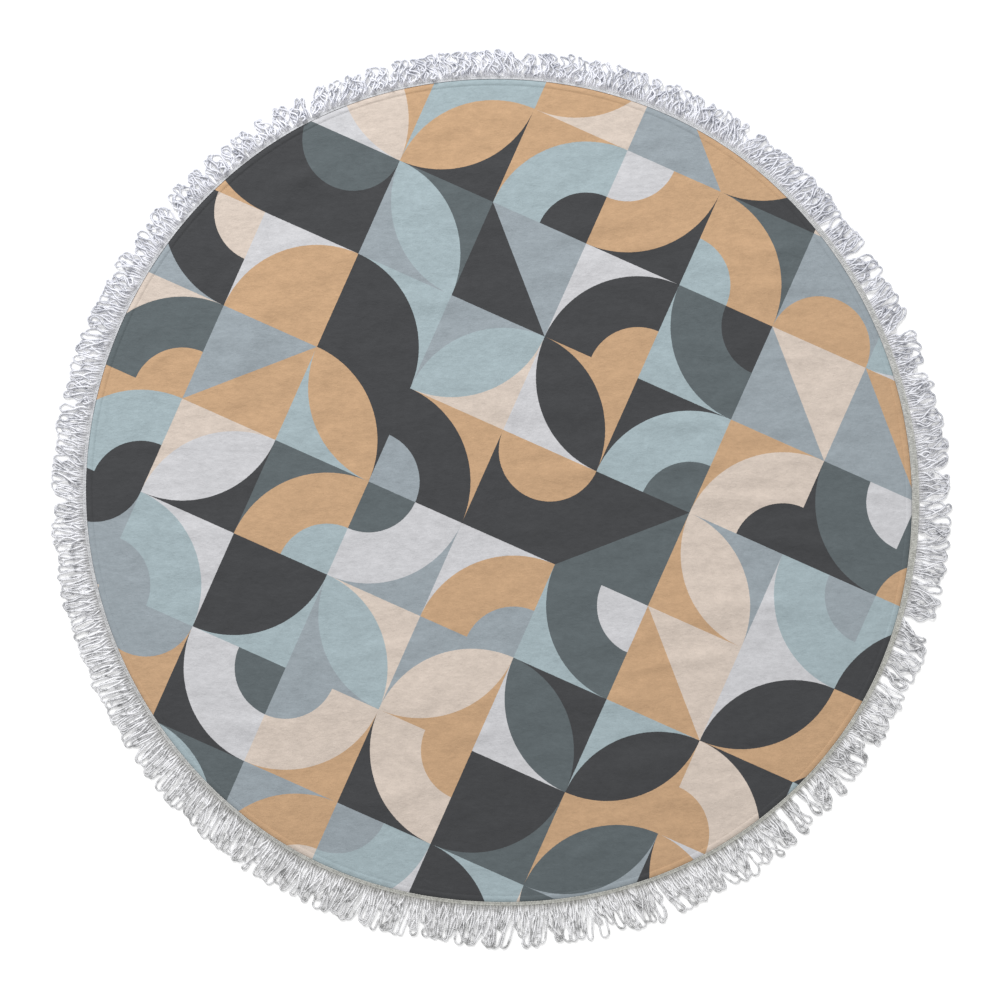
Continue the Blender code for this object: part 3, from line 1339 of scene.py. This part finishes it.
    def _lay_grid(self, bm: bmesh.types.BMesh, is_face: bool) -> list[bmesh.types.BMEdge]:
        """Lays a square grid out over the round sheet.

        Args:
            bm: The mesh that gets it.
            is_face: Whether it is the sheet's face, and not its back.

        Returns:
            The edges round its rim.
        """
        made = bmesh.ops.create_grid(bm, x_segments=self.cells, y_segments=self.cells, size=1.0)["verts"]
        start = self.hem_start if is_face else self.hem_rings[-1][0]
        for vert in made:
            across, up = vert.co.x, vert.co.y
            x, y = across * math.sqrt(1 - up * up / 2), up * math.sqrt(1 - across * across / 2)
            reach = self.outline.edge(math.atan2(y, x)) - start
            x, y = x * reach, y * reach
            lift = self.lift(x, y)
            vert.co = (x, y, self.thickness + max(lift, -self.pressed) if is_face else max(lift, 0.0))
        faces = {face for vert in made for face in vert.link_faces}
        for face in faces:
            face.material_index = 0 if is_face else 1
        if not is_face:
            for vert in (vert for vert in made if vert.is_boundary):
                vert.co.z = self._edge_height(vert.co, self.hem_rings[-1][1])
        return [edge for edge in {edge for face in faces for edge in face.edges} if edge.is_boundary]

    def _edge_height(self, place: Vector, height: float) -> float:
        """The height of a ring of the hem, with the hem's puckers."""
        angle = math.atan2(place.y, place.x)
        return height + self.pucker(angle, self.outline.edge(angle) - place.xy.length)

    def _hem_ring(
        self, bm: bmesh.types.BMesh, rim: Iterable[bmesh.types.BMEdge], inset: float, height: float
    ) -> list[bmesh.types.BMEdge]:
        """Draws the sheet's rim on to the hem's next ring.

        Args:
            bm: The sheet so far.
            rim: The edges round its rim.
            inset: How far the new ring lies inside the hem's edge.
            height: Its height.

        Returns:
            The new ring's edges.
        """
        grown = bmesh.ops.extrude_edge_only(bm, edges=list(rim))["geom"]
        for vert in (item for item in grown if isinstance(item, bmesh.types.BMVert)):
            angle = math.atan2(vert.co.y, vert.co.x)
            reach = self.outline.edge(angle) - inset
            vert.co = (reach * math.cos(angle), reach * math.sin(angle), height)
            vert.co.z = self._edge_height(vert.co, height)
        return [item for item in grown if isinstance(item, bmesh.types.BMEdge)]


@dataclass
class FringeBraid:
    """The flat braid that holds the loops, with a twisted cord along each edge and ribs across."""

    outline: Outline
    centre: Vector
    material: Material
    steps: int = 756
    thickness: float = 0.0020
    cord_width: float = 0.0019
    cord_inset: float = 0.06
    cord_step: float = 0.0026
    ply_pitch: float = 0.010
    ribs: int = 1800
    rib_width: float = 0.0019
    rib_share: float = 0.92
    rib_rise: float = 0.35
    rib_sink: float = 0.30
    rib_stray: float = 0.25
    rib_slant: float = 0.18

    # The tape's section all the way round: shares of its width and of its thickness.
    section: tuple[tuple[float, float], ...] = (
        (0.0, 0.2),
        (0.0, 0.8),
        (0.08, 1.0),
        (0.92, 1.0),
        (1.0, 0.8),
        (1.0, 0.2),
        (0.92, 0.0),
        (0.08, 0.0),
    )

    def _place(self, angle: float, share: float, level: float = 1.0) -> Vector:
        """A place on the tape, at shares of its width and its thickness."""
        return placed(self.centre, angle, self.outline.braid(angle, share), level * self.thickness)

    def build_tape(self) -> bpy.types.Object:
        """Makes the tape.

        Returns:
            A closed ring.
        """
        bm = bmesh.new()
        rings = []
        for angle in all_round(self.steps):
            rings.append([bm.verts.new(self._place(angle, *point)) for point in self.section])
        for ring, following in zip(rings, rings[1:] + rings[:1]):
            for place in range(len(ring)):
                bm.faces.new((ring[place - 1], ring[place], following[place], following[place - 1]))
        bmesh.ops.recalc_face_normals(bm, faces=bm.faces)
        return dressed("braid_tape", bm, self.material)

    def build_cord(self, name: str, share: float) -> bpy.types.Object:
        """Makes one of the twisted cords that bind the tape's edges.

        Args:
            name: The piece's name.
            share: How far across the tape it runs.

        Returns:
            The cord.
        """
        path = bpy.data.meshes.new("cord_path")
        places = [self._place(angle, share) for angle in all_round(self.steps)]
        path.from_pydata(places, [(step, (step + 1) % self.steps) for step in range(self.steps)], [])
        sizes = {"Width": self.cord_width, "Ply Pitch": self.ply_pitch, "Step": self.cord_step}
        tree = GrowingTree("edge_cord", sizes, self.material)
        curve = tree.add("GeometryNodeMeshToCurve", inputs={0: tree.base})
        even = tree.resampled(curve.outputs[0], "Length", tree.size("Step"))
        tilt = tree.along("Length") * math.tau / tree.size("Ply Pitch")
        twisted = tree.add("GeometryNodeSetCurveTilt", inputs={"Curve": even, "Tilt": tilt})
        tree.close(tree.swept(twisted.outputs[0], tree.ply_section(tree.size("Width"))))
        return tree.grow(name, path)

    def build_ribs(self) -> bpy.types.Object:
        """Makes the ribs where the loops' legs cross the tape.

        Returns:
            All the ribs as one mesh.
        """
        draws = random.Random(5)
        places, turns, lengths = [], [], []
        for rib in range(self.ribs):
            angle = math.tau * (rib + draws.uniform(-self.rib_stray, self.rib_stray)) / self.ribs
            places.append(self._place(angle, 0.5))
            turns.append(angle + draws.uniform(-self.rib_slant, self.rib_slant))
            lengths.append(self.rib_share * self.outline.around("braid", angle))
        tree = GrowingTree("rib_row", {"Width": self.rib_width}, self.material)
        tree.lay_bars(self.rib_rise, self.rib_sink)
        return tree.grow("braid_ribs", seat_mesh(places, {"turn": turns, "length": lengths}))


class Quarter(Enum):
    """The fringe's quarters, anticlockwise from +X, by the number of quarter turns before each."""

    NORTH_EAST = 0
    NORTH_WEST = 1
    SOUTH_WEST = 2
    SOUTH_EAST = 3


class Lay(Enum):
    """How a loop lies in its bunch: the least and greatest share of the bunch's reach, and of a width."""

    LONG = (0.90, 1.00, 0.0090, 0.0130)
    MIDDLE = (0.70, 0.94, 0.0086, 0.0124)
    FILLER = (0.40, 0.70, 0.0076, 0.0108)


@dataclass(frozen=True)
class LoopHabit:
    """How the loops form by chance.

    A slope's first number holds where the loops neither fan nor tangle, and its second is what a
    full fan or a full tangle adds. Bows and twists are in radians.
    """

    filler: Slope = (-0.1, 1.2)
    most_fillers: float = 0.7
    least_bow: float = 0.02
    bow: Slope = (0.05, 0.50)
    dip_depth: float = 0.30
    widening: Slope = (1.0, 0.2)
    lean: Slope = (0.0012, 0.0040)
    twisted: Slope = (0.08, 0.75)
    twisted_again: float = 0.6
    twist_stray: float = 0.5
    twisted_neck: float = 0.15
    pinched_neck: float = 0.70
    neck_spread: tuple[float, float] = (0.3, 1.0)
    curl: Slope = (0.0024, 0.0028)
    calm: float = 0.25
    least_turns: float = 0.7
    most_turns: Slope = (1.7, 1.2)
    lively: float = 0.5


@dataclass
class LoopFringe:
    """The uncut loops of twisted yarn, up to three to a bunch."""

    outline: Outline
    centre: Vector
    material: Material
    habit: LoopHabit = LoopHabit()
    bunches: int = 252
    loops_in_bunch: int = 3
    root_share: float = 0.82
    root_depth: float = 0.0012
    shortest_bunch: float = 0.90
    jitter: float = 0.0012
    seed: int = 11
    yarn_width: float = 0.0031
    root_width: float = 0.0030
    step: float = 0.0018
    bend: float = 0.0240
    layer_height: float = 0.0020
    spring_height: float = 0.006
    points: int = 72
    turn_share: float = 0.17
    tip_roundness: float = 0.62
    opening: float = 2.6
    looseness: Slope = (0.20, 0.65)
    curl_depth: float = 0.35
    root_rest: float = 0.30
    free_rest: Slope = (0.20, 0.22)
    crossing_height: float = 0.55
    bend_pace: Slope = (30.0, 32.0)
    loop_offset: float = 3.17
    leg_offset: float = 0.22
    sparse_fan: float = 0.45
    full_beside: float = 0.06
    patch_start: float = -0.05
    open_patches: tuple[float, float] = (13, 8.3)
    dips: tuple[float, float] = (22, 4.1)
    tone_seed: int = 21
    start_seed: int = 22

    def seats(self) -> list[dict[str, float]]:
        """Where each loop grows from and how.

        Returns:
            For each loop its seat, its outward direction, and how it is formed.
        """
        draws = random.Random(self.seed)
        own = random.Random(self.seed + 1)
        habit = self.habit
        pitch = math.tau / self.bunches
        rows = []
        for bunch in range(self.bunches):
            middle = (bunch + self.root_share / 2) * pitch
            reach = self.outline.tip(middle) - self.outline.braid(middle, 1.0)
            reach *= 1 - (1 - self.shortest_bunch) * draws.random() ** 2
            stray = draws.uniform(-self.jitter, self.jitter)
            # Two more draws go unused, so that the bunches after this one keep theirs.
            draws.random()
            draws.random()
            for place in range(self.loops_in_bunch):
                share = (place + 0.5) / self.loops_in_bunch - 0.5
                angle = middle + share * self.root_share * pitch
                lay = Lay.LONG if place != 1 else (Lay.MIDDLE, Lay.FILLER)[bunch % 2]
                fillers = min(sloped(habit.filler, self.outline.around("fan", angle)), habit.most_fillers)
                if place == 2 and own.random() < fillers:
                    lay = Lay.FILLER
                lean = self.outline.sway(angle) + stray
                seat = self._seat(own, angle, reach, lean, lay, (place * 2 + bunch) % 3)
                if lay is not Lay.FILLER or not self._is_open(angle):
                    rows.append(seat)
        return rows

    def _is_open(self, angle: float) -> bool:
        """Whether the fringe is thin at a bearing.

        Args:
            angle: The direction in radians.

        Returns:
            Whether no short loops stand there among the long ones.
        """
        near = min(abs(self.outline.turn_from(parting, angle)) for parting in self.outline.partings)
        is_fanned = self.outline.around("fan", angle) > self.sparse_fan
        is_patch = ripple(angle, *self.open_patches) > self.patch_start
        return is_fanned and is_patch and near > self.full_beside

    def _seat(
        self, own: random.Random, angle: float, reach: float, lean: float, lay: Lay, layer: int
    ) -> dict[str, float]:
        """One loop's seat.

        Args:
            own: The loops' own draws.
            angle: The loop's bearing.
            reach: How far its bunch reaches.
            lean: How far sideways its bunch leans.
            lay: How it lies in its bunch.
            layer: Its layer above the floor.

        Returns:
            Its numbers by name.
        """
        habit = self.habit
        least, greatest, narrow, wide = lay.value
        tangle, fan = self.outline.around("tangle", angle), self.outline.around("fan", angle)
        outer = self.outline.braid(angle, 1.0) - self.root_depth
        bow = own.choice((-1, 1)) * (habit.least_bow + own.random() * sloped(habit.bow, fan))
        undipped = 1 - habit.dip_depth * fan * max(ripple(angle, *self.dips), 0.0)
        slack = self.outline.around("reach", angle) * undipped * abs(bow) / math.sin(abs(bow))
        is_twisted = own.random() < sloped(habit.twisted, tangle)
        half_turns = 2 if own.random() < habit.twisted_again * tangle else 1
        twist = math.pi * half_turns
        neck = habit.twisted_neck if is_twisted else habit.pinched_neck
        curled = max(tangle - habit.calm, 0.0) / (1 - habit.calm)
        most_turns = sloped(habit.most_turns, max(tangle - habit.lively, 0.0))
        return {
            "seat_x": self.centre.x + outer * math.cos(angle),
            "seat_y": self.centre.y + outer * math.sin(angle),
            "out_x": math.cos(angle),
            "out_y": math.sin(angle),
            "reach": reach * own.uniform(least, greatest) * slack + self.root_depth,
            "width": own.uniform(narrow, wide) * sloped(habit.widening, fan),
            "lean": lean + own.uniform(-1, 1) * sloped(habit.lean, fan),
            "bow": bow,
            "neck": neck * tangle * own.uniform(*habit.neck_spread),
            "twist": is_twisted * own.choice((-1, 1)) * (twist + own.uniform(-1, 1) * habit.twist_stray),
            "curl": sloped(habit.curl, tangle) * own.random() * curled,
            "turns": own.uniform(habit.least_turns, most_turns),
            "tangle": tangle,
            "layer": float(layer),
            "quarter": float(int(angle % math.tau / (math.pi / 2))),
        }

    def tree(self) -> GrowingTree:
        """Builds the tree that turns each seat into a loop of yarn.

        Returns:
            The tree.
        """
        sizes = {
            "Yarn Width": self.yarn_width,
            "Root Width": self.root_width,
            "Step": self.step,
            "Bend": self.bend,
            "Layer Height": self.layer_height,
        }
        tree = GrowingTree("looped_fringe", sizes, self.material)
        blank = tree.real(tree.lines(((0.0, 0.0, 0.0), (0.0, 0.0, 1.0)), self.points))
        place, share = self._loop_place(tree)
        noted = tree.kept(blank, "girth", 0.6 + 0.4 * self._freed(share))
        noted = tree.kept(noted, "rooted", 1.0 - (share * 3.0).eased())
        noted = tree.kept(noted, "tipped", ((share - 0.5) * 2.0).eased())
        noted = tree.kept(noted, "tone", self._tone(tree))
        even = tree.resampled(tree.moved(noted, Position=place), "Length", tree.size("Step"))
        start = tree.chance(0.0, 0.01, self.start_seed, self._item(tree))
        measured = tree.kept(even, "run", tree.along("Length") + start)
        level = tree.add("GeometryNodeSetCurveNormal", {"mode": "Z_UP"}, {"Curve": measured})
        section = tree.yarn_section(tree.size("Yarn Width"))
        yarn = tree.swept(level.outputs[0], section, tree.carried("girth"))
        upright = tree.axes(tree.add("GeometryNodeInputNormal").outputs[0])[2]
        tree.close(tree.kept(yarn, "side", 1.0 - abs(upright)))
        return tree

    @staticmethod
    def _item(tree: GrowingTree) -> Value:
        """The number of the loop that a point is on."""
        return tree.value(tree.add("GeometryNodeCurveOfPoint"), "Curve Index")

    def _tone(self, tree: GrowingTree) -> Value:
        """A number from 0 to 1 that is each loop's own."""
        return tree.chance(0.0, 1.0, self.tone_seed, self._item(tree))

    @staticmethod
    def _freed(share: Value) -> Value:
        """How far the yarn is free of the braid: 0 where it is sewn in, and 1 a few millimetres on."""
        return (share * 14.0).eased()

    def _loop_place(self, tree: GrowingTree) -> tuple[Socket, Value]:
        """Where a point of a loop goes.

        Args:
            tree: The fringe's tree.

        Returns:
            The place, and the share of the loop's reach that it is out from the braid.
        """
        # Along the yarn: a leg out, a round tip and a leg back, from -1 by way of 0 to 1.
        signed = 2.0 * tree.along() - 1.0
        apart = abs(signed)
        side = (signed > 0.0) * 2.0 - 1.0
        leg = ((apart - self.turn_share) / (1.0 - self.turn_share)).at_least(0.0)
        quarter_turn = (apart / self.turn_share).at_most(1.0) * (math.pi / 2)
        reach, width, tangle = tree.carried("reach"), tree.carried("width"), tree.carried("tangle")
        tip_length = self.tip_roundness * width
        run = (reach - tip_length) * (1.0 - leg) + tip_length * quarter_turn.cosine()
        share = (run / reach).held()

        # How far the legs stand apart, between the neck and the tip, and how they twist.
        root_width, neck = tree.size("Root Width"), tree.carried("neck")
        opening = ((self.opening - tangle) * (share - neck) / (1.0 - neck)).eased()
        twist = tree.carried("twist") * share
        spread = root_width + (width - root_width) * opening
        half = 0.5 * side * spread * quarter_turn.sine() * twist.cosine()

        # In plan: a bowed way out, on which the loop curls, leans and strays.
        bow = tree.carried("bow")
        heading = bow * share
        out = reach * heading.sine() / bow - half * heading.sine()
        sideways = reach * (1.0 - heading.cosine()) / bow + half * heading.cosine()
        drift_side, drift_up = self._drift(tree, run, side * quarter_turn.sine())
        loosened = share * sloped(self.looseness, tangle)
        spin = math.tau * tree.carried("turns") * share
        curl = tree.carried("curl") * (share * 3.0).at_most(1.0)
        sideways = sideways + curl * spin.sine()
        out = out + self.curl_depth * curl * (spin.cosine() - 1.0)
        sideways = sideways + tree.carried("lean") * share**1.3 + drift_side * tree.size("Bend") * loosened

        # Upward: its rest on the floor, the legs' crossings, its layer, and the yarn's own spring.
        rise = (share * 4.0).eased() * (1.0 - ((share - 0.45) / 0.50).eased())
        rest = self.root_rest + sloped(self.free_rest, self._tone(tree)) * self._freed(share)
        upper = abs(twist.sine()) + side * twist.sine()
        crossing = self.crossing_height * upper * quarter_turn.sine() * (share * 5.0).eased()
        layers = tree.carried("layer") * tree.size("Layer Height") * rise
        spring = (drift_up * self.spring_height * rise * tangle).at_least(0.0)
        height = (rest + crossing) * tree.size("Yarn Width") + layers + spring
        x = tree.carried("seat_x") + tree.carried("out_x") * out - tree.carried("out_y") * sideways
        y = tree.carried("seat_y") + tree.carried("out_y") * out + tree.carried("out_x") * sideways
        return tree.combined(x, y, height), share

    def _drift(self, tree: GrowingTree, out: Value, side: Value) -> tuple[Value, Value]:
        """How a loop's yarn bends aside and upward on its way, both legs almost alike.

        Args:
            tree: The fringe's tree.
            out: How far out the point is.
            side: Which leg it is on, -1 or 1, by way of 0 at the tip.

        Returns:
            Two numbers from -0.5 to 0.5.
        """
        pace = sloped(self.bend_pace, tree.carried("tangle"))
        field = tree.combined(out * pace, self._item(tree) * self.loop_offset, side * self.leg_offset)
        drift = tree.add("ShaderNodeTexNoise", inputs={"Vector": field, "Scale": 1.0, "Detail": 0.0})
        aside, _, upward = tree.axes(drift.outputs["Color"])
        return aside - 0.5, upward - 0.5

    def build(self) -> list[bpy.types.Object]:
        """Makes the loops, a piece for each quarter of the towel.

        Returns:
            The four pieces.
        """
        rows = self.seats()
        tree = self.tree()
        pieces = []
        for quarter in Quarter:
            chosen = [row for row in rows if int(row["quarter"]) == quarter.value]
            places = [(row["seat_x"], row["seat_y"], 0.0) for row in chosen]
            base = seat_mesh(places, {name: [row[name] for row in chosen] for name in chosen[0]})
            pieces.append(tree.grow(f"fringe_loops_{quarter.name.lower()}", base))
        return pieces


@dataclass
class HemStitches:
    """The row of stitches sunk in the hem's groove."""

    cloth: TowelCloth
    material: Material
    pitch: float = 0.0036
    row_radius: float = 0.69
    stitch_length: float = 0.0030
    slant: float = 0.06
    thread_width: float = 0.0008
    inset: float = 0.0107
    height: float = 0.0020

    def build(self) -> bpy.types.Object:
        """Makes the stitches.

        Returns:
            All the stitches as one mesh.
        """
        count = round(math.tau * self.row_radius / self.pitch)
        places = []
        for angle in all_round(count):
            reach = self.cloth.outline.edge(angle) - self.inset
            height = self.height + self.cloth.pucker(angle, self.inset)
            places.append(placed(self.cloth.centre, angle, reach, height))
        turns = [angle + math.pi / 2 + self.slant for angle in all_round(count)]
        tree = GrowingTree("stitch_row", {"Width": self.thread_width}, self.material)
        tree.lay_bars(rise=1.0, sink=1.0)
        columns = {"turn": turns, "length": [self.stitch_length] * count}
        return tree.grow("hem_stitches", seat_mesh(places, columns))


# ---------------------------------------------------------------- studio


@dataclass(frozen=True)
class Lamp:
    """A soft square light: its name, where it hangs, its side and its power in watts."""

    name: str
    place: tuple[float, float, float]
    size: float
    power: float

    def hang(self) -> None:
        """Hangs it so that it faces the towel."""
        lamp = bpy.data.lights.new(self.name, "AREA")
        lamp.size = self.size
        lamp.energy = self.power
        light = bpy.data.objects.new(self.name, lamp)
        light.location = self.place
        light.rotation_euler = (-Vector(self.place)).to_track_quat("-Z", "Y").to_euler()
        bpy.context.scene.collection.objects.link(light)


@dataclass
class Studio:
    """The pale floor, the soft light and the camera straight above the towel."""

    view_width: float = 1.6877
    lens: float = 135.0
    sensor: float = 36.0
    floor_size: float = 16.0
    sky_strength: float = 0.58
    lamps: tuple[Lamp, ...] = (
        Lamp("key_light", (-2.15, 4.60, 3.60), 2.5, 335.0),
        Lamp("fill_light", (3.6, -3.0, 5.6), 4.0, 90.0),
    )

    def build(self) -> None:
        """Makes the floor, the lights and the camera."""
        self.lay_floor()
        for lamp in self.lamps:
            lamp.hang()
        self.colour_sky()
        self.place_camera()
        view = bpy.context.scene.view_settings
        view.view_transform = "Standard"
        view.look = "None"

    def lay_floor(self) -> None:
        """Lays the floor under the towel."""
        bm = bmesh.new()
        bmesh.ops.create_grid(bm, x_segments=2, y_segments=2, size=self.floor_size / 2)
        dressed("studio_floor", bm, PaleFloor().material())

    def colour_sky(self) -> None:
        """Fills the room with even white light."""
        world = bpy.data.worlds.new("white_room")
        world.use_nodes = True
        inputs = world.node_tree.nodes["Background"].inputs
        inputs["Color"].default_value = WHITE
        inputs["Strength"].default_value = self.sky_strength
        bpy.context.scene.world = world

    def place_camera(self) -> None:
        """Places the camera straight above, with the photograph's width in view."""
        data = bpy.data.cameras.new("camera")
        data.lens = self.lens
        data.sensor_width = self.sensor
        camera = bpy.data.objects.new("camera", data)
        camera.location = (0.0, 0.0, self.view_width * self.lens / self.sensor)
        bpy.context.scene.collection.objects.link(camera)
        bpy.context.scene.camera = camera


def main() -> None:
    """Builds and dresses the towel, piece by piece."""
    logging.basicConfig(level=logging.INFO, format="%(message)s")
    Studio().build()
    outline = Outline()
    centre = outline.centre()
    cloth = TowelCloth(outline, centre, PrintedVelour().material(), TerryBack().material())
    sheet = settle(cloth.build(), "printed_velour", "towel_cloth")
    braid = FringeBraid(outline, centre, WovenBraid().material())
    trim = [settle(braid.build_tape(), "cotton_yarn", "loop_fringe")]
    trim.append(settle(braid.build_cord("braid_inner_cord", braid.cord_inset), "cotton_yarn"))
    trim.append(settle(braid.build_cord("braid_outer_cord", 1 - braid.cord_inset), "cotton_yarn"))
    trim.append(settle(braid.build_ribs(), "cotton_yarn"))
    fringe = LoopFringe(outline, centre, TwistedYarn().material())
    trim.extend(settle(piece, "cotton_yarn", "loop_fringe") for piece in fringe.build())
    trim.append(settle(HemStitches(cloth, SewingThread().material()).build(), "printed_velour"))


if __name__ == "__main__":
    main()
